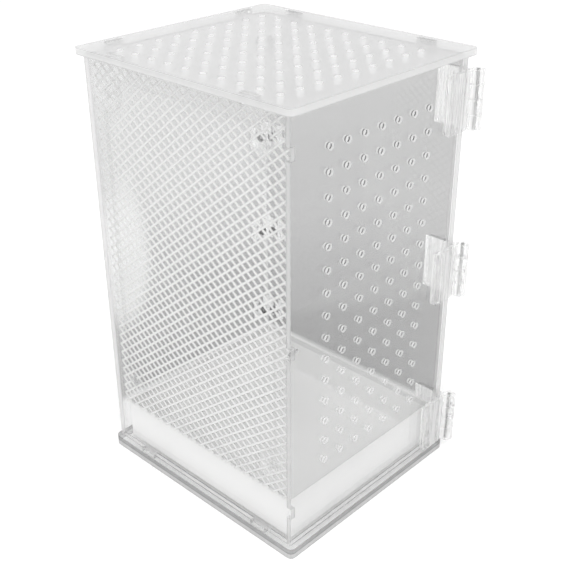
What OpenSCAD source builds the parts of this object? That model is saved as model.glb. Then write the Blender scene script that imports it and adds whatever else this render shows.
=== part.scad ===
// Tall clear acrylic insect cage. The front is a perforated door on three clear hinges, the left side
// is closed with white diamond netting, and a white tray stands on the floor.
// Frame: +Z up, the door faces -Y, the netting faces -X, origin at the centre of the underside.

/* [Box] */
// Width over the two side panels, along the door
box_w = 145; // [120:1:200]
// Depth from the door's outer face to the back panel's outer face
box_d = 160; // [130:1:220]
// Height of the walls between the base and the lid
wall_h = 264; // [220:1:340]
// Thickness of the clear walls and the door
sheet = 3; // [2.5:0.5:4]

/* [Lid and base] */
// Thickness of the lid
lid_t = 4; // [3:0.5:5]
// How far the lid stands out beyond the walls
lid_overhang = 4; // [3:0.5:8]
// Thickness of each of the two base plates
base_plate_t = 3.5; // [2:0.5:4]
// How far the base plates stand out beyond the walls
base_overhang = 3; // [2:0.5:6]
// Radius of the lid's and base's corners
plate_corner_r = 3.5; // [2:0.5:6]
// Length of each wall tab that plugs into the lid and the base
tab_len = 12; // [8:1:20]
// Distance from each wall's middle to its two tabs
tab_offset = 52; // [40:1:54]

/* [Vent holes] */
// Diameter of a vent hole
vent_d = 3.4; // [2.5:0.1:4]
// Spacing of the door's vent holes
door_vent_pitch = 13.8; // [12:0.1:14]
// Columns of vent holes in the door
door_vent_cols = 7; // [5:1:8]
// Rows of vent holes in the door
door_vent_rows = 15; // [10:1:15]
// Spacing of the lid's vent holes across the width
lid_vent_pitch_x = 14; // [12:0.1:14.5]
// Spacing of the lid's vent holes across the depth
lid_vent_pitch_y = 13.7; // [12:0.1:14.5]

/* [Hinges] */
// Length of a hinge barrel
barrel_len = 35; // [32:1:44]
// Height of a hinge leaf
leaf_h = 35; // [30:1:38]
// Reach of a hinge leaf along its panel, from the box's corner
leaf_reach = 20; // [15:0.5:24]
// Radius of a hinge barrel
barrel_r = 4.3; // [3.8:0.1:5]
// Radius of the steel hinge pin
pin_r = 1; // [0.8:0.1:2]

/* [Netting] */
// Distance between neighbouring strands
strand_pitch = 5; // [4:0.1:7]
// Width of a strand
strand_w = 1.4; // [1:0.1:2]
// Angle of the strands to the horizontal
strand_angle = 38.5; // [35:0.5:50]
// Thickness of the netting
netting_t = 0.8; // [0.6:0.1:1]

/* [Tray] */
// Height of the tray
tray_h = 29; // [20:0.5:32]
// Thickness of the tray's walls
tray_wall = 1.6; // [1.2:0.1:2.5]

/* [Hidden] */

$fn = 48;
CLEAR = [0.86, 0.88, 0.89, 0.45];
WHITE = [0.93, 0.93, 0.92];
STEEL = [0.55, 0.56, 0.58];

// Heights, from the underside of the lower base plate
base_z = 2 * base_plate_t;
lid_z = base_z + wall_h;

// Fits
moving_gap = 0.3;   // between the door and what it closes against
door_end_gap = 0.5; // between the door and the lid or base
slot_gap = 0.1;     // round each tab in its slot
cut = 1;            // how far a cutting shape runs past the face it cuts

// Faces of the box
side_x = box_w / 2;
front_y = -box_d / 2;
back_y = box_d / 2;
panel_front_y = front_y + sheet + moving_gap;
inner_x = side_x - sheet;
inner_back_y = back_y - sheet;
inner_front_y = front_y + sheet;

// Hinges: one vertical axis, outside the box's front right corner
axis_out = barrel_r + 0.1;
axis_x = side_x + axis_out;
axis_y = front_y - axis_out;
knuckle_gap = 0.3;
knuckle_pitch = barrel_len / 4;
knuckle_h = knuckle_pitch - knuckle_gap;
leaf_t = 3;
leaf_corner_r = 3;
web_gap = axis_out + 0.3;
fixed_bore_r = pin_r + 0.02;
running_bore_r = pin_r + 0.05;
pin_stand_out = 0.4;
hinge_z_bottom = base_z + 18.3;
hinge_z_middle = base_z + 129.3;
hinge_z_top = base_z + wall_h - 25.9;

// Closing edge of the door: three tongues of the side frame stand in three notches of the door
tongue_h = 7;
tongue_zs = [base_z + 23.8, base_z + wall_h / 2, base_z + wall_h - 20.2];
magnet_r = 1;
side_magnet_len = 2.6;
door_magnet_len = 3.6;
door_magnet_x = -inner_x + moving_gap;
magnet_gap = 0.02;

// Netting side: window in the side frame, netting inside it, four push rivets
netting_front = 3.5;
netting_rear = 4;
netting_bottom = 29;
netting_top = 0.5;
netting_edge = 1.5;
window_lap = 10;
rivet_in = 17;
rivet_z_low = base_z + 49.5;
rivet_z_high = lid_z - 19.3;
rivet_pad_r = 11.5;
rivet_head_r = 6.5;
rivet_head_t = 1.2;
rivet_shank_r = 2;
rivet_cap_r = 5;
rivet_cap_t = 1.5;
rivet_ys = [front_y + rivet_in, back_y - rivet_in];
rivet_zs = [rivet_z_low, rivet_z_high];

// Rear right corner: four brackets, each with a clear screw and a steel nut in each leg
bracket_t = 2.5;
bracket_leg = 15;
bracket_h = 16;
bracket_zs = [base_z + 43.4, base_z + 109, base_z + 180.2, base_z + 247.2];
screw_in = 9;
screw_r = 1.5;
screw_head_r = 3;
screw_head_t = 1.4;
nut_r = 3.1;
nut_t = 1.8;

// Vent fields
door_vent_x = -1.8;
door_vent_z = base_z + 144;
lid_vent_x = -6.8;
lid_vent_y = -2.6;
lid_vent_cols = 9;
lid_vent_rows = 10;

// Tray
tray_gap = 1.5;
tray_floor = 2;
tray_corner_r = 2.5;

// ---------------------------------------------------------------- shared shapes

// Rectangle with round corners, centred
module round_rect(w, d, r) {
    square([w - 2 * r, d], center = true);
    square([w, d - 2 * r], center = true);
    for (sx = [-1, 1], sy = [-1, 1])
        translate([sx * (w / 2 - r), sy * (d / 2 - r)]) circle(r);
}

// Grid of vent holes, centred
module vent_grid(cols, rows, pitch_x, pitch_y) {
    for (i = [0:cols - 1], j = [0:rows - 1])
        translate([(i - (cols - 1) / 2) * pitch_x, (j - (rows - 1) / 2) * pitch_y]) circle(d = vent_d);
}

// Outline of a plate that stands out beyond the walls
module plate_outline(overhang) {
    round_rect(box_w + 2 * overhang, box_d + 2 * overhang, plate_corner_r);
}

// Slots that take the tabs of the three fixed walls
module tab_slots() {
    slot_w = sheet + 2 * slot_gap;
    slot_len = tab_len + 2 * slot_gap;
    for (s = [-1, 1]) {
        for (x = [-side_x + sheet / 2, side_x - sheet / 2])
            translate([x, s * tab_offset]) square([slot_w, slot_len], center = true);
        translate([s * tab_offset, back_y - sheet / 2]) square([slot_len, slot_w], center = true);
    }
}

// A wall of the given length and height, drawn flat with its lower left corner at the origin,
// with its two tabs at each end
module wall_outline(len, middle) {
    square([len, wall_h]);
    for (s = [-1, 1])
        translate([middle + s * tab_offset - tab_len / 2, -base_plate_t])
            square([tab_len, wall_h + base_plate_t + lid_t]);
}

// Stands a flat outline up as a side wall: its x runs along +Y and its y along +Z
module stand_along_y(x, y, z, t) {
    translate([x, y, z]) rotate([90, 0, 90]) linear_extrude(t) children();
}

// Stands a flat outline up as a front or back wall: its x runs along +X, its y along +Z,
// and the sheet fills from y back to y + t
module stand_along_x(x, y, z, t) {
    translate([x, y + t, z]) rotate([90, 0, 0]) linear_extrude(t) children();
}

// ---------------------------------------------------------------- lid, base and walls

module base_plate_lower() {
    color(CLEAR) linear_extrude(base_plate_t) plate_outline(base_overhang);
}

module base_plate_upper() {
    color(CLEAR) translate([0, 0, base_plate_t]) linear_extrude(base_plate_t) difference() {
        plate_outline(base_overhang);
        tab_slots();
    }
}

module lid_plate() {
    color(CLEAR) translate([0, 0, lid_z]) linear_extrude(lid_t) difference() {
        plate_outline(lid_overhang);
        tab_slots();
        translate([lid_vent_x, lid_vent_y])
            vent_grid(lid_vent_cols, lid_vent_rows, lid_vent_pitch_x, lid_vent_pitch_y);
    }
}

// The back panel stands between the two side panels
module back_panel() {
    color(CLEAR) stand_along_x(-inner_x, inner_back_y, base_z, sheet) difference() {
        wall_outline(2 * inner_x, inner_x);
        for (z = bracket_zs)
            translate([side_x + inner_x - screw_in, z - base_z]) circle(screw_r + slot_gap);
    }
}

module right_panel() {
    len = back_y - panel_front_y;
    color(CLEAR) stand_along_y(inner_x, panel_front_y, base_z, sheet) difference() {
        wall_outline(len, -panel_front_y);
        for (z = bracket_zs)
            translate([len - screw_in, z - base_z]) circle(screw_r + slot_gap);
    }
}

// ---------------------------------------------------------------- netting side

// Window of the side frame: a rectangle that leaves a pad round each rivet
module window_outline() {
    y0 = front_y + netting_front + window_lap;
    y1 = back_y - netting_rear - window_lap;
    z0 = netting_bottom + window_lap;
    z1 = wall_h - netting_top - window_lap;
    difference() {
        translate([y0, z0]) square([y1 - y0, z1 - z0]);
        for (y = rivet_ys, z = rivet_zs) translate([y, z - base_z]) circle(rivet_pad_r);
    }
}

// Outline of the side frame: the wall, its three tongues, the window and the rivet holes
module side_frame_outline() {
    len = back_y - panel_front_y;
    difference() {
        union() {
            translate([panel_front_y, 0]) wall_outline(len, -panel_front_y);
            for (z = tongue_zs)
                translate([front_y, z - base_z - tongue_h / 2]) square([sheet + 2 * moving_gap, tongue_h]);
        }
        window_outline();
        for (y = rivet_ys, z = rivet_zs) translate([y, z - base_z]) circle(rivet_shank_r + slot_gap);
    }
}

module netting_side_frame() {
    color(CLEAR) difference() {
        stand_along_y(-side_x, 0, base_z, sheet) side_frame_outline();
        magnet_rod(-inner_x - side_magnet_len, side_magnet_len + cut, magnet_r + magnet_gap);
    }
}

// One layer of the netting, drawn flat and centred: parallel strands at the given angle, joined by a thin
// welded edge
module strand_layer(angle) {
    w = box_d - netting_front - netting_rear;
    h = wall_h - netting_top - netting_bottom;
    reach = norm([w, h]);
    count = ceil(reach / strand_pitch / 2);
    difference() {
        square([w, h], center = true);
        intersection() {
            square([w - 2 * netting_edge, h - 2 * netting_edge], center = true);
            for (i = [-count:count]) rotate(angle) translate([0, (i + 0.5) * strand_pitch])
                square([reach, strand_pitch - strand_w], center = true);
        }
    }
}

// A layer in its place, its outer face the given distance inside the side frame
module netting_layer(depth, angle) {
    mid_y = front_y + (box_d + netting_front - netting_rear) / 2;
    mid_z = base_z + (wall_h + netting_bottom - netting_top) / 2;
    color(WHITE) stand_along_y(-inner_x + depth, 0, 0, netting_t / 2) difference() {
        translate([mid_y, mid_z]) strand_layer(angle);
        for (y = rivet_ys, z = rivet_zs) translate([y, z]) circle(rivet_shank_r + slot_gap);
    }
}

module netting_outer_strands() { netting_layer(0, -strand_angle); }
module netting_inner_strands() { netting_layer(netting_t / 2, strand_angle); }

// Each rivet is a wide flat head with a shank through the frame and the netting
module netting_rivets() {
    shank_len = sheet + netting_t + rivet_cap_t;
    color(CLEAR) for (y = rivet_ys, z = rivet_zs)
        translate([-side_x - rivet_head_t, y, z]) rotate([0, 90, 0]) {
            cylinder(h = rivet_head_t, r = rivet_head_r);
            cylinder(h = rivet_head_t + shank_len, r = rivet_shank_r);
        }
}

module netting_rivet_caps() {
    color(CLEAR) for (y = rivet_ys, z = rivet_zs)
        translate([-inner_x + netting_t, y, z]) rotate([0, 90, 0]) difference() {
            cylinder(h = rivet_cap_t, r = rivet_cap_r);
            translate([0, 0, -cut]) cylinder(h = rivet_cap_t + 2 * cut, r = rivet_shank_r + 0.02);
        }
}

// ---------------------------------------------------------------- rear right corner

module corner_brackets() {
    color(CLEAR) for (z = bracket_zs) translate([side_x, back_y, z - bracket_h / 2]) difference() {
        linear_extrude(bracket_h) {
            translate([-bracket_leg, 0]) square([bracket_leg + bracket_t, bracket_t]);
            translate([0, -bracket_leg]) square([bracket_t, bracket_leg + bracket_t]);
        }
        translate([-screw_in, bracket_t + cut, bracket_h / 2]) rotate([90, 0, 0])
            cylinder(h = bracket_t + 2 * cut, r = screw_r + slot_gap);
        translate([-cut, -screw_in, bracket_h / 2]) rotate([0, 90, 0])
            cylinder(h = bracket_t + 2 * cut, r = screw_r + slot_gap);
    }
}

// One screw along +Z, its head's outer face at z = 0
module corner_screw() {
    cylinder(h = screw_head_t, r = screw_head_r);
    cylinder(h = screw_head_t + bracket_t + sheet + nut_t, r = screw_r);
}

// Places its children at both screws of every bracket, +Z pointing into the cage from the bracket's face
module at_corner_screws() {
    for (z = bracket_zs) {
        translate([side_x - screw_in, back_y + bracket_t, z]) rotate([90, 0, 0]) children();
        translate([side_x + bracket_t, back_y - screw_in, z]) rotate([0, -90, 0]) children();
    }
}

module corner_screws() {
    color(CLEAR) at_corner_screws() translate([0, 0, -screw_head_t]) corner_screw();
}

module corner_nuts() {
    color(STEEL) at_corner_screws() translate([0, 0, bracket_t + sheet]) difference() {
        cylinder(h = nut_t, r = nut_r);
        translate([0, 0, -cut]) cylinder(h = nut_t + 2 * cut, r = screw_r + 0.02);
    }
}

// ---------------------------------------------------------------- hinges

// Lower end of knuckle k of a barrel centred on z = 0; knuckles are counted from the top
function knuckle_z(k) = barrel_len / 2 - (k + 1) * knuckle_pitch + knuckle_gap / 2;

// Leaf in the hinge's own frame: the barrel's axis is Z, the leaf runs along -X and its back face is at
// y = axis_out. It has every other knuckle, and first is 0 or 1.
module hinge_leaf(first, bore_r) {
    leaf_len = leaf_reach + axis_out - web_gap;
    difference() {
        union() {
            translate([-web_gap - leaf_len / 2, axis_out, 0]) rotate([90, 0, 0]) linear_extrude(leaf_t) {
                round_rect(leaf_len, leaf_h, leaf_corner_r);
                translate([0, -leaf_h / 2]) square([leaf_len / 2, leaf_h]);
            }
            for (k = [first:2:3]) translate([0, 0, knuckle_z(k)]) {
                cylinder(h = knuckle_h, r = barrel_r);
                translate([-web_gap - 1, axis_out - leaf_t, 0]) cube([web_gap + 1, leaf_t, knuckle_h]);
            }
        }
        translate([0, 0, -barrel_len / 2 - cut]) cylinder(h = barrel_len + 2 * cut, r = bore_r);
    }
}

module door_leaf(z) {
    color(CLEAR) translate([axis_x, axis_y, z]) hinge_leaf(0, running_bore_r);
}

// The frame's leaf is the mirror of the door's, turned onto the right panel's outer face
module frame_leaf(z) {
    color(CLEAR) translate([axis_x, axis_y, z]) rotate([0, 0, -90]) mirror([0, 1, 0])
        hinge_leaf(1, fixed_bore_r);
}

module hinge_pin(z) {
    color(STEEL) translate([axis_x, axis_y, z - barrel_len / 2])
        cylinder(h = barrel_len + pin_stand_out, r = pin_r);
}

module frame_leaf_top() { frame_leaf(hinge_z_top); }
module frame_leaf_middle() { frame_leaf(hinge_z_middle); }
module frame_leaf_bottom() { frame_leaf(hinge_z_bottom); }
module door_leaf_top() { door_leaf(hinge_z_top); }
module door_leaf_middle() { door_leaf(hinge_z_middle); }
module door_leaf_bottom() { door_leaf(hinge_z_bottom); }
module hinge_pin_top() { hinge_pin(hinge_z_top); }
module hinge_pin_middle() { hinge_pin(hinge_z_middle); }
module hinge_pin_bottom() { hinge_pin(hinge_z_bottom); }

// ---------------------------------------------------------------- door

// Outline of the door: the sheet, its vent holes and the three notches in its closing edge
module door_outline() {
    notch_w = sheet + moving_gap;
    notch_h = tongue_h + 2 * moving_gap;
    difference() {
        translate([0, base_z + door_end_gap]) square([box_w, wall_h - 2 * door_end_gap]);
        translate([side_x + door_vent_x, door_vent_z])
            vent_grid(door_vent_cols, door_vent_rows, door_vent_pitch, door_vent_pitch);
        for (z = tongue_zs) translate([-cut, z - notch_h / 2]) square([notch_w + cut, notch_h]);
    }
}

module door_panel() {
    color(CLEAR) difference() {
        stand_along_x(-side_x, front_y, 0, sheet) door_outline();
        magnet_rod(door_magnet_x - cut, door_magnet_len + cut, magnet_r + magnet_gap);
    }
}

// ---------------------------------------------------------------- tray

module tray() {
    w = 2 * (inner_x - tray_gap);
    y0 = inner_front_y + tray_gap;
    y1 = inner_back_y - tray_gap;
    color(WHITE) translate([0, (y0 + y1) / 2, base_z]) difference() {
        linear_extrude(tray_h) round_rect(w, y1 - y0, tray_corner_r);
        translate([0, 0, tray_floor]) linear_extrude(tray_h)
            round_rect(w - 2 * tray_wall, y1 - y0 - 2 * tray_wall, tray_corner_r - tray_wall / 2);
    }
}

// ---------------------------------------------------------------- closing magnets

// Rod along +X at the middle tongue: one is set in the tongue, the other in the door beside it
module magnet_rod(x, len, r) {
    translate([x, front_y + sheet / 2, tongue_zs[1]]) rotate([0, 90, 0]) cylinder(h = len, r = r);
}

module side_magnet() {
    color(STEEL) magnet_rod(-inner_x - side_magnet_len, side_magnet_len, magnet_r);
}

module door_magnet() {
    color(STEEL) magnet_rod(door_magnet_x, door_magnet_len, magnet_r);
}

base_plate_lower();
base_plate_upper();
lid_plate();
back_panel();
right_panel();
netting_side_frame();
netting_outer_strands();
netting_inner_strands();
netting_rivets();
netting_rivet_caps();
corner_brackets();
corner_screws();
corner_nuts();
side_magnet();
frame_leaf_top();
frame_leaf_middle();
frame_leaf_bottom();
hinge_pin_top();
hinge_pin_middle();
hinge_pin_bottom();
door_panel();
door_magnet();
door_leaf_top();
door_leaf_middle();
door_leaf_bottom();
tray();
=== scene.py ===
"""Looks of the clear insect cage: clear acrylic sheets, white netting, a white tray, clear hinges and steel
fasteners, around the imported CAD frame. The frame is in metres: +Z up, the door faces -Y, the netting -X."""
import math
import random
from collections import namedtuple

import bmesh
import bpy
from mathutils import Matrix, Vector


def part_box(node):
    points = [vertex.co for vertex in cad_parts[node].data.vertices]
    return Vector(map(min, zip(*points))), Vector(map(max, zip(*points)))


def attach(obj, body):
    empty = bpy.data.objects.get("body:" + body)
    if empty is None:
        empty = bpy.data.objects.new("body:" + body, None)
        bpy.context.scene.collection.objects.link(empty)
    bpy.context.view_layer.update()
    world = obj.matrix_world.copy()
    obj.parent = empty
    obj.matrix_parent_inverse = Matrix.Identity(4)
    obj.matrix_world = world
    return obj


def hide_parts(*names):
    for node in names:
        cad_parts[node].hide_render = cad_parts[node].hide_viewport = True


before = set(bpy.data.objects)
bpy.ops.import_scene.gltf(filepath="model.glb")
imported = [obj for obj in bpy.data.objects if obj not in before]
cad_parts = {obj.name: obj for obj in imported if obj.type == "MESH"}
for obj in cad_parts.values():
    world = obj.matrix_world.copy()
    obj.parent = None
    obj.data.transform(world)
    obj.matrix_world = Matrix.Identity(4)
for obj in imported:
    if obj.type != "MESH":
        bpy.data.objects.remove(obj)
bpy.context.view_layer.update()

MM = 0.001
SEED = 7
HINGE_PLACES = ("top", "middle", "bottom")

# ------------------------------------------------------------------ camera, light and floor

CAMERA_AZIMUTH = math.radians(-46.08)  # 0 looks along +Y
CAMERA_ELEVATION = math.radians(27.89)
CAMERA_ROLL = math.radians(-0.36)
CAMERA_DISTANCE = 0.6105
CAMERA_AIM = Vector((0.0019, -0.0020, 0.1267))
CAMERA_LENS, CAMERA_SENSOR = 62.0, 36
CAMERA_NEAR, CAMERA_FAR = 0.01, 50
WORLD_STRENGTH = 0.96
FLOOR_RADIUS, FLOOR_SEGMENTS, FLOOR_Z = 8, 96, -0.2 * MM


def aimed(azimuth, elevation, distance):
    """Place of a camera or light at that azimuth, elevation and distance from the aim, facing it."""
    back = Vector((math.sin(azimuth) * math.cos(elevation),
                   -math.cos(azimuth) * math.cos(elevation),
                   math.sin(elevation)))
    turn = (-back).to_track_quat("-Z", "Y").to_matrix().to_4x4()
    return Matrix.Translation(CAMERA_AIM + back * distance) @ turn


def make_camera():
    data = bpy.data.cameras.new("camera")
    data.lens = CAMERA_LENS
    data.sensor_width = CAMERA_SENSOR
    data.clip_start = CAMERA_NEAR
    data.clip_end = CAMERA_FAR
    camera = bpy.data.objects.new("camera", data)
    bpy.context.scene.collection.objects.link(camera)
    place = aimed(CAMERA_AZIMUTH, CAMERA_ELEVATION, CAMERA_DISTANCE)
    camera.matrix_world = place @ Matrix.Rotation(CAMERA_ROLL, 4, "Z")
    bpy.context.scene.camera = camera


def make_softbox(name, azimuth, elevation, distance, size, watts):
    data = bpy.data.lights.new(name, "AREA")
    data.shape = "RECTANGLE"
    data.size, data.size_y = size
    data.energy = watts
    light = bpy.data.objects.new(name, data)
    bpy.context.scene.collection.objects.link(light)
    light.matrix_world = aimed(math.radians(azimuth), math.radians(elevation), distance)


def make_world():
    world = bpy.data.worlds.new("studio")
    world.use_nodes = True
    background = world.node_tree.nodes["Background"]
    background.inputs["Color"].default_value = grey(1)
    background.inputs["Strength"].default_value = WORLD_STRENGTH
    bpy.context.scene.world = world


def make_floor():
    bm = bmesh.new()
    bmesh.ops.create_circle(bm, cap_ends=True, segments=FLOOR_SEGMENTS, radius=FLOOR_RADIUS)
    floor = mesh_object("floor", bm, floor_material())
    floor.location.z = FLOOR_Z


def set_render_options():
    scene = bpy.context.scene
    scene.view_settings.view_transform = "Standard"
    scene.cycles.max_bounces = 32
    scene.cycles.glossy_bounces = 24
    scene.cycles.transmission_bounces = 24
    scene.cycles.transparent_max_bounces = 40


# ------------------------------------------------------------------ node helpers

NOISE_DETAIL = 3.0
NOISE_LOW, NOISE_HIGH = 0.3, 0.7  # nearly all of the noise lies between these


def new_material(name):
    material = bpy.data.materials.new(name)
    material.use_nodes = True
    material.node_tree.nodes.clear()
    return material, material.node_tree


def add(tree, kind, inputs=None, **settings):
    """Adds a node. A value in inputs is a number, a colour or another node's output."""
    made = tree.nodes.new(kind)
    for key, value in settings.items():
        setattr(made, key, value)
    for key, value in (inputs or {}).items():
        if isinstance(value, bpy.types.NodeSocket):
            tree.links.new(value, made.inputs[key])
        else:
            made.inputs[key].default_value = value
    return made


def output(tree, shader):
    add(tree, "ShaderNodeOutputMaterial", {"Surface": shader})


def grey(value):
    return (value, value, value, 1)


def maths(tree, operation, a, b=0.0):
    return add(tree, "ShaderNodeMath", {0: a, 1: b}, operation=operation).outputs[0]


def spread(tree, value, from_low, from_high, to_low=0.0, to_high=1.0, **settings):
    """Turns one range of values into another, held at its ends."""
    return add(tree, "ShaderNodeMapRange", {
        "Value": value, "From Min": from_low, "From Max": from_high, "To Min": to_low, "To Max": to_high,
    }, **settings).outputs[0]


def mix_colours(tree, share, first, second):
    return add(tree, "ShaderNodeMix", {0: share, 6: first, 7: second}, data_type="RGBA").outputs[2]


def mix_shaders(tree, share, first, second):
    return add(tree, "ShaderNodeMixShader", {0: share, 1: first, 2: second}).outputs[0]


def transparent(tree, tint):
    """Lets light straight through. The tint is a colour or another node's output."""
    return add(tree, "ShaderNodeBsdfTransparent", {"Color": tint}).outputs[0]


def glossy(tree, grain, low, high):
    """Mirror of a clear face, with a roughness that varies between two values."""
    return add(tree, "ShaderNodeBsdfGlossy", {
        "Color": grey(1.0), "Roughness": noise(tree, grain, low, high)}).outputs[0]


def axis_part(tree, coordinates, axis):
    """One part of the object coordinates, which are the shared frame's, or of the normal."""
    coords = add(tree, "ShaderNodeTexCoord")
    parts = add(tree, "ShaderNodeSeparateXYZ", {0: coords.outputs[coordinates]})
    return parts.outputs["XYZ".index(axis)]


def distance_from(tree, axis, middle):
    """Distance along an axis from a value of that coordinate."""
    return maths(tree, "ABSOLUTE", maths(tree, "SUBTRACT", axis_part(tree, "Object", axis), middle))


def noise(tree, scale, low, high):
    """Noise fixed to the object, spread between two values. The scale is in waves per metre."""
    coords = add(tree, "ShaderNodeTexCoord")
    wave = add(tree, "ShaderNodeTexNoise", {
        "Vector": coords.outputs["Object"], "Scale": scale, "Detail": NOISE_DETAIL})
    return spread(tree, wave.outputs["Fac"], NOISE_LOW, NOISE_HIGH, low, high)


def bump(tree, height, distance):
    return add(tree, "ShaderNodeBump", {"Height": height, "Distance": distance, "Strength": 1.0}).outputs[0]


# ------------------------------------------------------------------ where on a sheet a point lies

BROAD_NORMAL = 0.7
EDGE_LINE = 0.45 * MM


def span(node, axis):
    """Middle and half size of a CAD node's box along an axis."""
    low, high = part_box(node)
    k = "XYZ".index(axis)
    return (low[k] + high[k]) / 2, (high[k] - low[k]) / 2


def faces_along(tree, axis):
    """1 where the normal lies along the axis, either way, and 0 elsewhere."""
    size = maths(tree, "ABSOLUTE", axis_part(tree, "Normal", axis))
    return maths(tree, "GREATER_THAN", size, BROAD_NORMAL)


def inside_outline(tree, node, axis, margin):
    """1 on what lies further in than the margin from a sheet's outline, such as its hole walls, and 0 outside."""
    share = 1.0
    for letter in "XYZ".replace(axis, ""):
        middle, half = span(node, letter)
        near = maths(tree, "LESS_THAN", distance_from(tree, letter, middle), half - margin)
        share = maths(tree, "MULTIPLY", share, near)
    return share


def near_corner(tree, node, axis, width):
    """1 on an edge face within the width of either broad face, and 0 along its middle."""
    middle, half = span(node, axis)
    return maths(tree, "GREATER_THAN", distance_from(tree, axis, middle), half - width)


def height_tint(tree, node, stops, lean=0.0):
    """A grey that follows the height on a node (and the distance back, by lean), from stops of (share of the
    height, grey)."""
    low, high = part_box(node)
    height = axis_part(tree, "Object", "Z")
    if lean:
        height = maths(tree, "ADD", height, maths(tree, "MULTIPLY", axis_part(tree, "Object", "Y"), lean))
    ramp = add(tree, "ShaderNodeValToRGB", {"Fac": spread(tree, height, low.z, high.z)})
    ramp.color_ramp.interpolation = "EASE"
    elements = ramp.color_ramp.elements
    while len(elements) < len(stops):
        elements.new(0.5)
    for element, (place, value) in zip(elements, stops):
        element.position = place
        element.color = grey(value)
    return ramp.outputs["Color"]


# ------------------------------------------------------------------ surfaces that clear materials are mixed from

ACRYLIC_IOR = 1.49
NORMAL_MIRROR = 0.04
FROST_WHITE = 0.97


def mirror_share(tree, least):
    """How much light a clear face mirrors, from how it faces the viewer (Schlick's formula)."""
    facing = add(tree, "ShaderNodeLayerWeight", {"Blend": 0.5}).outputs["Facing"]
    steep = maths(tree, "POWER", facing, 5.0)
    return maths(tree, "ADD", maths(tree, "MULTIPLY", steep, 1 - least), least)


def frosted(tree, shade):
    """Matt cut face, lit from both sides."""
    front = add(tree, "ShaderNodeBsdfDiffuse", {"Color": shade}).outputs[0]
    behind = add(tree, "ShaderNodeBsdfTranslucent", {"Color": shade}).outputs[0]
    return mix_shaders(tree, 0.5, front, behind)


def glowing(tree, share):
    """White matt surface with a painted glow: an emission standing in for the light that the clear sheet
    carries to it.
    """
    light = add(tree, "ShaderNodeEmission", {"Color": grey(1.0)}).outputs[0]
    return mix_shaders(tree, share, frosted(tree, grey(FROST_WHITE)), light)


def glass(tree, tint, roughness, **normal):
    """Clear plastic that bends what is seen through it."""
    return add(tree, "ShaderNodeBsdfPrincipled", {
        "Base Color": grey(tint), "Roughness": roughness, "IOR": ACRYLIC_IOR, "Transmission Weight": 1.0,
        **normal}).outputs[0]


# ------------------------------------------------------------------ clear sheets

# An edge's corner lines are painted shade.
Edge = namedtuple("Edge", "tint glow line")  # light through it, frosted share, light through its corner lines
EDGE_BENT, EDGE_BENT_TINT, EDGE_ROUGHNESS = 0.2, 0.95, 0.08
CUT_TINT = 0.96  # light through a plain cut face
END_REACH = 5 * MM
# The foot's painted shade lines, and the share and strength of its painted glow.
FOOT_SHADE_LINE, FOOT_GLOW_SHARE, FOOT_GLOW = 0.5, 0.5, 0.5
TOP_TINT, TOP_WHITE = 0.93, 0.62
LID_FILM = 0.745
ONE_FACE_TINT = 0.99
# Painted glow in a ring where a hole's wall meets either face: width, light through it, share of glow.
HOLE_RING, HOLE_RING_TINT, HOLE_RING_GLOW = 1.05 * MM, 0.97, 0.5
DOOR_VENT_PITCH, VENT_RADIUS = 13.8 * MM, 1.7 * MM
DOOR_VENTS = (("X", -1.8 * MM, 7), ("Z", 151 * MM, 15))  # axis, middle of the grid, count
# Painted highlight rims round the door's vents: width, share and painted glow.
VENT_RIM, VENT_RIM_HIGHLIGHT, VENT_RIM_GLOW = 0.5 * MM, 0.45, 0.3


def edge_shader(tree, node, axis, edge):
    """Polished edge of a sheet: part clear, part frosted, with a darker line of painted shade along each
    corner.
    """
    shade = mix_colours(tree, near_corner(tree, node, axis, EDGE_LINE), grey(edge.tint), grey(edge.line))
    bent = glass(tree, EDGE_BENT_TINT, EDGE_ROUGHNESS)
    clear = mix_shaders(tree, EDGE_BENT, transparent(tree, shade), bent)
    return mix_shaders(tree, edge.glow, clear, frosted(tree, shade))


def upright_ends(tree, node, axis, rim):
    """Gives an upright sheet's foot a painted glow and painted shade lines along its corners, and its top, which
    the lid covers, the lid's film.
    """
    low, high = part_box(node)
    height = axis_part(tree, "Object", "Z")
    plain = transparent(tree, grey(CUT_TINT))
    pale = mix_shaders(tree, FOOT_GLOW_SHARE, plain, glowing(tree, FOOT_GLOW))
    line = transparent(tree, grey(FOOT_SHADE_LINE))
    foot = mix_shaders(tree, near_corner(tree, node, axis, EDGE_LINE), pale, line)
    ends = mix_shaders(tree, maths(tree, "LESS_THAN", height, low.z + END_REACH), plain, foot)
    top = mix_shaders(tree, TOP_WHITE, transparent(tree, grey(TOP_TINT)), frosted(tree, grey(LID_FILM)))
    ends = mix_shaders(tree, maths(tree, "GREATER_THAN", height, high.z - END_REACH), ends, top)
    return mix_shaders(tree, faces_along(tree, "Z"), rim, ends)


def hole_wall(tree, node, axis, glow, centre):
    """A drilled hole's wall: a painted glow where it meets either face, and where centre gives stops of (share of
    the height, grey), clear with painted shade half-way in."""
    lit = glowing(tree, glow)
    if centre is None:
        return lit
    shaded_middle = transparent(tree, height_tint(tree, node, centre))
    ring = mix_shaders(tree, HOLE_RING_GLOW, transparent(tree, grey(HOLE_RING_TINT)), lit)
    return mix_shaders(tree, near_corner(tree, node, axis, HOLE_RING), shaded_middle, ring)


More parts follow.
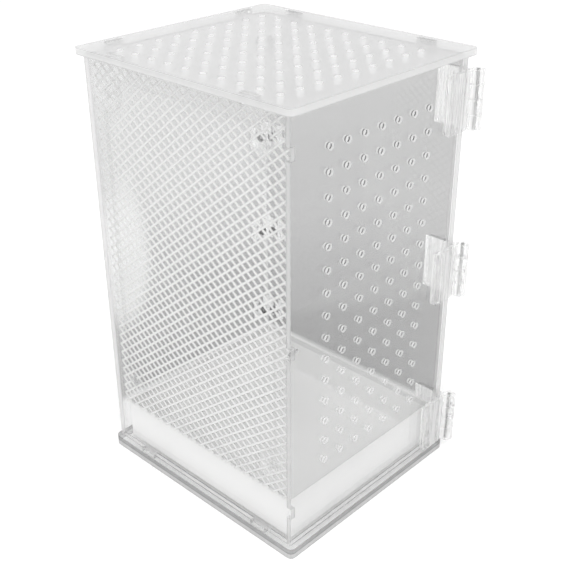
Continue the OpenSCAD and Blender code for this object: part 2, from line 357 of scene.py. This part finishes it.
def vent_highlight_rims(tree):
    """1 on the door's front face in a narrow ring round each vent hole, where a painted highlight goes."""
    square = 0.0
    share = maths(tree, "LESS_THAN", axis_part(tree, "Object", "Y"), span("door_panel", "Y")[0])
    for letter, middle, count in DOOR_VENTS:
        place = maths(tree, "SUBTRACT", axis_part(tree, "Object", letter), middle)
        place = maths(tree, "DIVIDE", place, DOOR_VENT_PITCH)
        within = maths(tree, "LESS_THAN", maths(tree, "ABSOLUTE", place), count / 2)
        share = maths(tree, "MULTIPLY", share, within)
        off = maths(tree, "SUBTRACT", place, maths(tree, "ROUND", place))
        square = maths(tree, "ADD", maths(tree, "MULTIPLY", off, off), square)
    reach = (VENT_RADIUS + VENT_RIM) / DOOR_VENT_PITCH
    return maths(tree, "MULTIPLY", share, maths(tree, "LESS_THAN", square, reach * reach))


def clear_sheet(node, axis, tint, edge, haze=0.0, mirror=NORMAL_MIRROR, holes=None, slots=None, glow=0.0,
                centre=None, one_face=False, highlight_rims=None):
    """Clear sheet: broad faces that let light straight through, and edges that look darker.
    tint is the light that the sheet lets through, or a function that makes one face's tint: a painted reflection.
    haze is the share of pale film. holes is the distance from the outline beyond which walls are a drilled
    hole's, with its painted glow and centre of painted shade, and slots the one for plain clear walls. With
    one_face only the face further along the axis has the tint, so corners aren't darkened twice. The last
    argument makes the share of painted highlight rims on the broad faces."""
    material, tree = new_material(node + "_acrylic")
    colour = tint(tree) if callable(tint) else grey(math.sqrt(tint))
    if one_face:
        outer = maths(tree, "GREATER_THAN", axis_part(tree, "Object", axis), span(node, axis)[0])
        colour = mix_colours(tree, outer, grey(ONE_FACE_TINT), colour)
    through = transparent(tree, colour)
    if haze:
        through = mix_shaders(tree, haze, through, frosted(tree, grey(LID_FILM)))
    broad = mix_shaders(tree, mirror_share(tree, mirror), through, glossy(tree, 60, 0.02, 0.06))
    # Painted highlight: pale glowing rims mixed into the broad faces.
    if highlight_rims:
        pale = maths(tree, "MULTIPLY", highlight_rims(tree), VENT_RIM_HIGHLIGHT)
        broad = mix_shaders(tree, pale, broad, glowing(tree, VENT_RIM_GLOW))
    rim = edge_shader(tree, node, axis, edge)
    if axis != "Z":
        rim = upright_ends(tree, node, axis, rim)
    if slots:
        inner = transparent(tree, grey(CUT_TINT))
        rim = mix_shaders(tree, inside_outline(tree, node, axis, slots), rim, inner)
    if holes:
        wall = hole_wall(tree, node, axis, glow, centre)
        rim = mix_shaders(tree, inside_outline(tree, node, axis, holes), rim, wall)
    output(tree, mix_shaders(tree, faces_along(tree, axis), rim, broad))
    paint(node, material)


# ------------------------------------------------------------------ other materials

BLOOM_WHITE = 0.95
STREAK_STRETCH, STREAK_SCALE = 0.03, 620.0
MOULDING_STRAIGHT_TINT, MOULDING_BENT_TINT, MOULDING_BENT = 0.98, 0.97, 0.35
# Share of painted glow in the painted highlight streaks.
STREAK_GLOW = 0.12
PLASTIC_IOR = 1.46
FLOOR_GLOW = 0.1


def thin_clear(name, tint, mirror, bloom=0.0):
    """Small clear part whose outline shows by what it mirrors and not by what it bends, with a pale bloom."""
    material, tree = new_material(name)
    through = transparent(tree, grey(math.sqrt(tint)))
    clear = mix_shaders(tree, mirror_share(tree, mirror), through, glossy(tree, 400, 0.03, 0.1))
    if bloom:
        clear = mix_shaders(tree, bloom, clear, frosted(tree, grey(BLOOM_WHITE)))
    output(tree, clear)
    return material


def clear_moulding():
    """Moulded clear plastic: partly seen straight through and partly bent, with bright upright streaks of painted
    highlight.
    """
    material, tree = new_material("clear_moulding")
    coords = add(tree, "ShaderNodeTexCoord")
    drawn = add(tree, "ShaderNodeMapping", {
        "Vector": coords.outputs["Object"], "Scale": (1.0, 1.0, STREAK_STRETCH)})
    upright_noise = add(tree, "ShaderNodeTexNoise", {"Vector": drawn.outputs[0], "Scale": STREAK_SCALE, "Detail": 2.0})
    highlight_streak = spread(tree, upright_noise.outputs[0], 0.42, 0.6, 0.03, 0.5)
    bent = glass(tree, MOULDING_BENT_TINT, noise(tree, 300, 0.02, 0.07),
                 Normal=bump(tree, upright_noise.outputs[0], 0.08 * MM))
    body = mix_shaders(tree, MOULDING_BENT, transparent(tree, grey(MOULDING_STRAIGHT_TINT)), bent)
    output(tree, mix_shaders(tree, highlight_streak, body, glowing(tree, STREAK_GLOW)))
    return material


def white_plastic(name, colour, roughness, grain, depth, painted_shade=None):
    """White plastic with a fine grain of that depth. The last argument makes a share of painted shade that
    darkens it.
    """
    material, tree = new_material(name)
    shade = noise(tree, 35, colour * 0.985, colour)
    if painted_shade:
        shade = maths(tree, "MULTIPLY", shade, painted_shade(tree))
    tone = add(tree, "ShaderNodeCombineColor", {0: shade, 1: shade, 2: maths(tree, "MULTIPLY", shade, 0.995)})
    body = add(tree, "ShaderNodeBsdfPrincipled", {
        "Base Color": tone.outputs[0], "Roughness": noise(tree, grain, roughness - 0.06, roughness + 0.06),
        "IOR": PLASTIC_IOR, "Normal": bump(tree, noise(tree, grain, 0, 1), depth)})
    output(tree, body.outputs[0])
    return material


def steel(name, colour, roughness):
    material, tree = new_material(name)
    body = add(tree, "ShaderNodeBsdfPrincipled", {
        "Base Color": grey(colour), "Metallic": 1.0,
        "Roughness": noise(tree, 900, roughness - 0.08, roughness + 0.08),
        "Normal": bump(tree, noise(tree, 1500, 0, 1), 0.02 * MM)})
    output(tree, body.outputs[0])
    return material


def floor_material():
    material, tree = new_material("pale_floor")
    shade = noise(tree, 3, 0.93, 0.96)
    tone = add(tree, "ShaderNodeCombineColor", {0: shade, 1: shade, 2: shade})
    body = add(tree, "ShaderNodeBsdfPrincipled", {
        "Base Color": tone.outputs[0], "Roughness": 0.7, "Specular IOR Level": 0.2,
        "Emission Color": grey(1.0), "Emission Strength": FLOOR_GLOW})
    output(tree, body.outputs[0])
    return material


# ------------------------------------------------------------------ mesh helpers


def mesh_object(name, bm, material, smooth=False):
    bmesh.ops.recalc_face_normals(bm, faces=bm.faces)
    mesh = bpy.data.meshes.new(name)
    bm.to_mesh(mesh)
    bm.free()
    for polygon in mesh.polygons:
        polygon.use_smooth = smooth
    mesh.materials.append(material)
    made = bpy.data.objects.new(name, mesh)
    bpy.context.scene.collection.objects.link(made)
    return made


def bridge(bm, first, second):
    """Joins two closed rings of the same length with quads."""
    count = len(first)
    for i in range(count):
        j = (i + 1) % count
        bm.faces.new((first[i], first[j], second[j], second[i]))


def stack(bm, rings):
    """Joins each ring to the next and closes the first and the last with a flat face."""
    for first, second in zip(rings, rings[1:]):
        bridge(bm, first, second)
    bm.faces.new(rings[0])
    bm.faces.new(rings[-1])


def arc(angle, steps):
    """Angles from 0 to that angle, in equal steps."""
    return [angle * step / steps for step in range(steps + 1)]


def solids(node):
    """(lowest corner, highest corner) of each separate solid of a CAD node, by height and then depth."""
    bm = bmesh.new()
    bm.from_mesh(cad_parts[node].data)
    bmesh.ops.remove_doubles(bm, verts=bm.verts, dist=0.01 * MM)
    left = set(bm.verts)
    found = []
    while left:
        group = [left.pop()]
        for vert in group:
            for link in vert.link_edges:
                other = link.other_vert(vert)
                if other in left:
                    left.discard(other)
                    group.append(other)
        low = Vector(min(v.co[k] for v in group) for k in range(3))
        high = Vector(max(v.co[k] for v in group) for k in range(3))
        found.append((low, high))
    bm.free()
    return sorted(found, key=lambda box: (round(box[0].z, 4), round(box[0].y, 4)))


def stand_at(point, towards):
    """Moves the origin to the point and turns +Z towards a direction."""
    return Matrix.Translation(point) @ Vector(towards).to_track_quat("Z", "Y").to_matrix().to_4x4()


def lathe(bm, profile, place, segments=40, closed=False):
    """Turns a profile of (radius, height) in mm about +Z, then moves it to its place. A radius may be a function
    of the angle. A closed profile makes a ring, and an open one starts and ends on the axis."""
    rings = []
    for radius, height in profile:
        if radius == 0:
            rings.append([bm.verts.new(place @ Vector((0, 0, height * MM)))])
            continue
        ring = []
        for i in range(segments):
            turn = 2 * math.pi * i / segments
            reach = (radius(turn) if callable(radius) else radius) * MM
            point = Vector((reach * math.cos(turn), reach * math.sin(turn), height * MM))
            ring.append(bm.verts.new(place @ point))
        rings.append(ring)
    pairs = list(zip(rings, rings[1:])) + ([(rings[-1], rings[0])] if closed else [])
    for first, second in pairs:
        if len(first) == 1 or len(second) == 1:
            tip, ring = (first[0], second) if len(first) == 1 else (second[0], first)
            for i in range(len(ring)):
                bm.faces.new((tip, ring[i], ring[(i + 1) % len(ring)]))
        else:
            bridge(bm, first, second)


# ------------------------------------------------------------------ netting

STRAND_PITCH = 5 * MM
STRAND_ANGLE = math.radians(38.5)
OUTER_STRAND_W = 1.35 * MM
INNER_STRAND_W = 1.6 * MM
OUTER_SHIFT, INNER_SHIFT = 0.15 * MM, -0.02 * MM
STRAND_T = 0.52 * MM
STRAND_CROSSING = STRAND_PITCH / math.sin(2 * STRAND_ANGLE)
CROSSING_SWELL = 1.22
STRAND_SIDES = 8
RINGS_PER_CROSSING = 4
RIVET_CLEARANCE = 2.25 * MM
STRAND_WANDER = 0.1 * MM
SHORTEST_STRAND, SHORTEST_STRETCH = 1 * MM, 0.5 * MM


def strand_line(angle, offset, low, high):
    """A strand clipped to the netting's outline, in (y, z): ((base, along, across), start, end), or None."""
    middle = (low + high) / 2
    along = Vector((math.cos(angle), math.sin(angle)))
    across = Vector((-math.sin(angle), math.cos(angle)))
    base = Vector((middle.y, middle.z)) + across * offset
    start, end = -10.0, 10.0
    for k, (lo, hi) in enumerate(((low.y, high.y), (low.z, high.z))):
        a, b = sorted(((lo - base[k]) / along[k], (hi - base[k]) / along[k]))
        start, end = max(start, a), min(end, b)
    return ((base, along, across), start, end) if end - start > SHORTEST_STRAND else None


def rivet_gaps(rivets, line, width):
    """(start, end) of each stretch that a rivet takes from a strand, in order."""
    base, along, across = line
    reach = RIVET_CLEARANCE + width / 2
    gaps = []
    for rivet in rivets:
        to_rivet = Vector((rivet.y, rivet.z)) - base
        miss = to_rivet.dot(across)
        if abs(miss) < reach:
            half = math.sqrt(reach ** 2 - miss ** 2)
            gaps.append((to_rivet.dot(along) - half, to_rivet.dot(along) + half))
    return sorted(gaps)


def add_strand(bm, line, start, end, x, width):
    """One stretch of a strand: an oval rod that swells a little where it crosses the other layer."""
    base, along, across = line
    count = max(2, round((end - start) / STRAND_CROSSING * RINGS_PER_CROSSING))
    rings = []
    for i in range(count + 1):
        at = start + (end - start) * i / count
        swell = 1 + (CROSSING_SWELL - 1) * (0.5 + 0.5 * math.cos(2 * math.pi * (at / STRAND_CROSSING)))
        centre = base + along * at
        ring = []
        for k in range(STRAND_SIDES):
            turn = 2 * math.pi * (k + 0.5) / STRAND_SIDES
            flat = centre + across * (width / 2 * swell * math.cos(turn))
            ring.append(bm.verts.new((x + STRAND_T / 2 * math.sin(turn), flat.x, flat.y)))
        rings.append(ring)
    stack(bm, rings)


def make_netting_layer(name, node, angle, width, x_shift, seed):
    low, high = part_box(node)
    x = (low.x + high.x) / 2 + x_shift
    rivets = [(lo + hi) / 2 for lo, hi in solids("netting_rivets")]
    draw = random.Random(seed)
    bm = bmesh.new()
    reach = math.hypot(high.y - low.y, high.z - low.z) / 2
    count = math.ceil(reach / STRAND_PITCH)
    for i in range(-count, count + 1):
        wander = draw.uniform(-STRAND_WANDER, STRAND_WANDER)
        found = strand_line(angle, i * STRAND_PITCH + wander, low, high)
        if not found:
            continue
        line, start, last = found
        for gap_start, gap_end in rivet_gaps(rivets, line, width) + [(last, last)]:
            end = min(gap_start, last)
            if end - start > SHORTEST_STRETCH:
                add_strand(bm, line, start, end, x, width)
            start = max(start, gap_end)
    plastic = white_plastic(name + "_plastic", colour=0.69, roughness=0.45, grain=700, depth=0.03 * MM)
    layer = mesh_object(name, bm, plastic, smooth=True)
    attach(layer, "cage")
    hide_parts(node)


# ------------------------------------------------------------------ tray

TRAY_WALL = 1.6 * MM
TRAY_FLOOR = 2 * MM
TRAY_CORNER, TRAY_LEAST_CORNER = 2.5 * MM, 0.4 * MM
TRAY_EDGE, TRAY_EDGE_STEPS = 0.8 * MM, 3  # the rounding under the outside
TRAY_FILLET, TRAY_FILLET_STEPS = 3.2 * MM, 6  # the rounding round the floor
TRAY_RIM, TRAY_RIM_STEPS = 0.75 * MM, 6
TRAY_DRAFT = 0.35 * MM
# Painted shade on the tray's outside, at the rim and at the foot.
TRAY_RIM_SHADE, TRAY_FOOT_SHADE = 0.82, 0.96  # shading of the outside at the rim and at the foot
CORNER_STEPS = 8


def round_rect_ring(bm, half_x, half_y, radius, z, centre):
    ring = []
    for corner, (sx, sy) in enumerate(((1, 1), (-1, 1), (-1, -1), (1, -1))):
        for step in range(CORNER_STEPS + 1):
            turn = math.pi / 2 * (corner + step / CORNER_STEPS)
            ring.append(bm.verts.new((centre.x + sx * (half_x - radius) + radius * math.cos(turn),
                                      centre.y + sy * (half_y - radius) + radius * math.sin(turn), z)))
    return ring


def tray_painted_shade(tree):
    """Painted shade: 1 inside the tray, and less on its outside, least at the rim."""
    low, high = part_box("tray")
    outside = spread(tree, axis_part(tree, "Object", "Z"), low.z, high.z, TRAY_FOOT_SHADE, TRAY_RIM_SHADE)
    inside = inside_outline(tree, "tray", "Z", TRAY_WALL)
    return maths(tree, "ADD", outside, maths(tree, "MULTIPLY", inside, maths(tree, "SUBTRACT", 1.0, outside)))


def make_tray():
    low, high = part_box("tray")
    centre = (low + high) / 2
    half = (high - low) / 2
    outline = []  # (inset from the outer face, height), up the outside and down the inside
    for turn in arc(math.pi / 2, TRAY_EDGE_STEPS):
        outline.append((TRAY_DRAFT + TRAY_EDGE * (1 - math.sin(turn)), low.z + TRAY_EDGE * (1 - math.cos(turn))))
    for turn in arc(math.pi, TRAY_RIM_STEPS):
        outline.append((TRAY_WALL / 2 - TRAY_RIM * math.cos(turn), high.z - TRAY_RIM + TRAY_RIM * math.sin(turn)))
    for turn in arc(math.pi / 2, TRAY_FILLET_STEPS):
        outline.append((TRAY_DRAFT + TRAY_WALL + TRAY_FILLET * (1 - math.cos(turn)),
                        low.z + TRAY_FLOOR + TRAY_FILLET * (1 - math.sin(turn))))
    bm = bmesh.new()
    stack(bm, [round_rect_ring(bm, half.x - inset, half.y - inset, max(TRAY_CORNER - inset, TRAY_LEAST_CORNER),
                               z, centre) for inset, z in outline])
    plastic = white_plastic("tray_plastic", colour=0.9, roughness=0.4, grain=260, depth=0.04 * MM,
                            painted_shade=tray_painted_shade)
    tray = mesh_object("white_tray", bm, plastic)
    for polygon in tray.data.polygons:
        polygon.use_smooth = len(polygon.vertices) == 4
    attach(tray, "tray")
    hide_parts("tray")


# ------------------------------------------------------------------ rivets, screws and nuts, in mm

RIVET_HEAD_R, RIVET_HEAD_T, RIVET_SHANK_R = 6.5, 1.2, 2.0
CAP_R, CAP_T, CAP_BORE_R = 5.0, 1.5, 2.02
SCREW_HEAD_R, SCREW_HEAD_T, SCREW_R = 3.0, 1.4, 1.5
NUT_CORNER_R, NUT_T, NUT_BORE_R = 3.1, 1.8, 1.52
NUT_FLAT_R = NUT_CORNER_R * math.cos(math.pi / 6)
RIVET_SEGMENTS, NUT_SEGMENTS = 48, 36


def hexagon(turn):
    """Distance from the axis to a nut's side at an angle."""
    return NUT_FLAT_R / math.cos((turn + math.pi / 6) % (math.pi / 3) - math.pi / 6)


def fastener_piece(name, node, material, make_one):
    """One piece for all the solids of a CAD node. make_one adds each to the mesh from its box."""
    bm = bmesh.new()
    for low, high in solids(node):
        make_one(bm, low, high)
    piece = mesh_object(name, bm, material)
    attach(piece, "cage")
    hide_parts(node)


def into_cage(low, high, longest_along_axis):
    """Place on the outer end of a screw or nut in the rear right corner, +Z pointing into the cage. A screw is
    longest along its axis, and a nut across it."""
    middle = (low + high) / 2
    along_y = (high.y - low.y > high.x - low.x) == longest_along_axis
    if along_y:
        return stand_at(Vector((middle.x, high.y, middle.z)), (0, -1, 0))
    return stand_at(Vector((high.x, middle.y, middle.z)), (-1, 0, 0))


def through_netting(low, high):
    """Place on the outer end of a rivet or cap, +Z pointing into the cage."""
    middle = (low + high) / 2
    return stand_at(Vector((low.x, middle.y, middle.z)), (1, 0, 0))


def add_rivet(bm, low, high):
    length = (high.x - low.x) / MM
    r, t, shank = RIVET_HEAD_R, RIVET_HEAD_T, RIVET_SHANK_R
    lathe(bm, [(0, 0), (0.5 * r, 0.03), (0.8 * r, 0.14), (0.94 * r, 0.36), (r, 0.75), (r, t - 0.1), (r - 0.1, t),
               (shank, t), (shank, length - 0.3), (shank - 0.3, length), (0, length)],
          through_netting(low, high), segments=RIVET_SEGMENTS)


def add_rivet_cap(bm, low, high):
    lathe(bm, [(CAP_R, 0), (CAP_R, 0.7), (0.94 * CAP_R, 1.1), (0.8 * CAP_R, 1.35), (0.6 * CAP_R, CAP_T),
               (CAP_BORE_R + 0.2, CAP_T), (CAP_BORE_R, CAP_T - 0.2), (CAP_BORE_R, 0)],
          through_netting(low, high), segments=RIVET_SEGMENTS, closed=True)


def add_screw(bm, low, high):
    length = max(high.x - low.x, high.y - low.y) / MM
    r, t = SCREW_HEAD_R, SCREW_HEAD_T
    lathe(bm, [(0, 0.7), (0.4 * r, 0.7), (0.44 * r, 0.02), (0.6 * r, 0), (0.82 * r, 0.12), (0.95 * r, 0.42),
               (r, 0.8), (r, t), (SCREW_R, t), (SCREW_R, length - 0.35), (SCREW_R - 0.35, length), (0, length)],
          into_cage(low, high, longest_along_axis=True))


def add_nut(bm, low, high):
    lathe(bm, [(hexagon, 0), (hexagon, NUT_T - 0.3), (NUT_FLAT_R, NUT_T), (NUT_BORE_R + 0.25, NUT_T),
               (NUT_BORE_R, NUT_T - 0.25), (NUT_BORE_R, 0)],
          into_cage(low, high, longest_along_axis=False), segments=NUT_SEGMENTS, closed=True)


def make_fasteners():
    clear = thin_clear("rivet_plastic", tint=0.98, mirror=0.01, bloom=0.07)
    screw = thin_clear("screw_plastic", tint=0.95, mirror=0.02)
    nut = steel("nut_steel", colour=0.3, roughness=0.35)
    fastener_piece("netting_push_rivets", "netting_rivets", clear, add_rivet)
    fastener_piece("netting_push_caps", "netting_rivet_caps", clear, add_rivet_cap)
    fastener_piece("bracket_pan_head_screws", "corner_screws", screw, add_screw)
    fastener_piece("bracket_hex_nuts", "corner_nuts", nut, add_nut)


# ------------------------------------------------------------------ sheets and other CAD nodes

# Painted reflection for the clear back panel: stops of (share of the height, grey), darker downwards.
BACK_REFLECTION_STOPS = [(0.0, 0.42), (0.32, 0.43), (0.45, 0.5), (0.7, 0.61), (1.0, 0.71)]
# Painted reflection for the clear right panel; the lean below tilts its horizon so that it darkens forwards.
RIGHT_REFLECTION_STOPS = [(0.0, 0.32), (0.25, 0.33), (0.31, 0.40), (0.6, 0.46), (1.0, 0.54)]
# Painted shade half-way into the door's vent holes: stops of (share of the height, grey).
HOLE_SHADE_STOPS = [(0.0, 0.95), (0.4, 0.9), (0.65, 0.66), (1.0, 0.45)]
REFLECTED_HORIZON_LEAN = 0.49
# A patch of painted glare on the back panel.
GLARE_PATCH = (("X", -58 * MM, 22 * MM), ("Z", 137 * MM, 52 * MM))  # a soft pale patch: axis, middle, radius
# Greys of the painted glare patch, of the painted light behind the hinge leaves, and of the sheet below the
# tray's rim.
GLARE_TINT, LEAF_PAINTED_LIGHT, BESIDE_TRAY_TINT = 0.74, 0.85, 0.88
DOOR_EDGE = Edge(tint=0.78, glow=0.6, line=0.68)
# Share of painted glow on the holes' walls.
VENT_MARGIN, VENT_GLOW = 8 * MM, 0.3
TAB_MARGIN, WINDOW_MARGIN = 1.5 * MM, 6 * MM


def paint(node, material):
    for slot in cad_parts[node].material_slots:
        slot.material = material


def clear_beside_tray(tree, tint):
    """The painted reflection's tint, giving way to clear sheet below the tray's rim."""
    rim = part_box("tray")[1].z
    below = spread(tree, axis_part(tree, "Object", "Z"), rim + 1 * MM, rim - 5 * MM)
    return mix_colours(tree, below, tint, grey(BESIDE_TRAY_TINT))


def back_painted_reflection(tree):
    """The back panel's painted reflection: a grey that darkens downwards, with a patch of painted glare."""
    plain = height_tint(tree, "back_panel", BACK_REFLECTION_STOPS)
    away = 0.0
    for letter, middle, radius in GLARE_PATCH:
        off = maths(tree, "SUBTRACT", axis_part(tree, "Object", letter), middle)
        off = maths(tree, "DIVIDE", off, radius)
        away = maths(tree, "ADD", maths(tree, "MULTIPLY", off, off), away)
    soft = spread(tree, away, 1.3, 0.3, interpolation_type="SMOOTHSTEP")
    return clear_beside_tray(tree, mix_colours(tree, soft, plain, grey(GLARE_TINT)))


def right_painted_reflection(tree):
    """The right panel's painted reflection, which darkens downwards and forwards, with painted light behind the
    hinge leaves.
    """
    plain = clear_beside_tray(tree, height_tint(tree, "back_panel", RIGHT_REFLECTION_STOPS, REFLECTED_HORIZON_LEAN))
    painted_light_behind_leaf = 0.0
    for place in HINGE_PLACES:
        inside = inside_outline(tree, "frame_leaf_" + place, "X", 0.0)
        painted_light_behind_leaf = maths(tree, "ADD", painted_light_behind_leaf, inside)
    return mix_colours(tree, painted_light_behind_leaf, plain, grey(LEAF_PAINTED_LIGHT))


def paint_sheets():
    clear_sheet("lid_plate", "Z", 0.90, edge=Edge(tint=0.91, glow=0.6, line=0.77), haze=0.45,
                holes=VENT_MARGIN, slots=TAB_MARGIN, glow=VENT_GLOW)
    clear_sheet("base_plate_upper", "Z", 0.98, edge=Edge(tint=0.5, glow=0.35, line=0.34), slots=TAB_MARGIN)
    clear_sheet("base_plate_lower", "Z", 0.98, edge=Edge(tint=0.7, glow=0.5, line=0.54))
    clear_sheet("netting_side_frame", "X", 0.99, edge=DOOR_EDGE, mirror=0.008, slots=WINDOW_MARGIN)
    clear_sheet("door_panel", "Y", 0.95, edge=DOOR_EDGE, holes=VENT_MARGIN, glow=VENT_GLOW,
                centre=HOLE_SHADE_STOPS, highlight_rims=vent_highlight_rims)
    clear_sheet("back_panel", "Y", back_painted_reflection, edge=Edge(tint=0.9, glow=0.5, line=0.84), one_face=True)
    clear_sheet("right_panel", "X", right_painted_reflection, edge=Edge(tint=0.9, glow=0.5, line=0.82), one_face=True)


def paint_fittings():
    moulding = clear_moulding()
    satin = steel("satin_steel", colour=0.42, roughness=0.32)
    nickel = steel("nickel_plate", colour=0.6, roughness=0.18)
    for place in HINGE_PLACES:
        paint("frame_leaf_" + place, moulding)
        paint("door_leaf_" + place, moulding)
        paint("hinge_pin_" + place, satin)
    paint("corner_brackets", thin_clear("bracket_acrylic", tint=0.97, mirror=0.01))
    paint("side_magnet", nickel)
    paint("door_magnet", nickel)


# ------------------------------------------------------------------ the scene

make_camera()
make_world()
make_floor()
make_softbox("key_light", azimuth=-45, elevation=58, distance=1.6, size=(1.2, 1.2), watts=10)
set_render_options()
paint_sheets()
paint_fittings()
make_netting_layer("netting_front_rising_strands", "netting_outer_strands", -STRAND_ANGLE, OUTER_STRAND_W,
                   OUTER_SHIFT, SEED)
make_netting_layer("netting_crossing_strands", "netting_inner_strands", STRAND_ANGLE, INNER_STRAND_W,
                   INNER_SHIFT, SEED + 1)
make_tray()
make_fasteners()
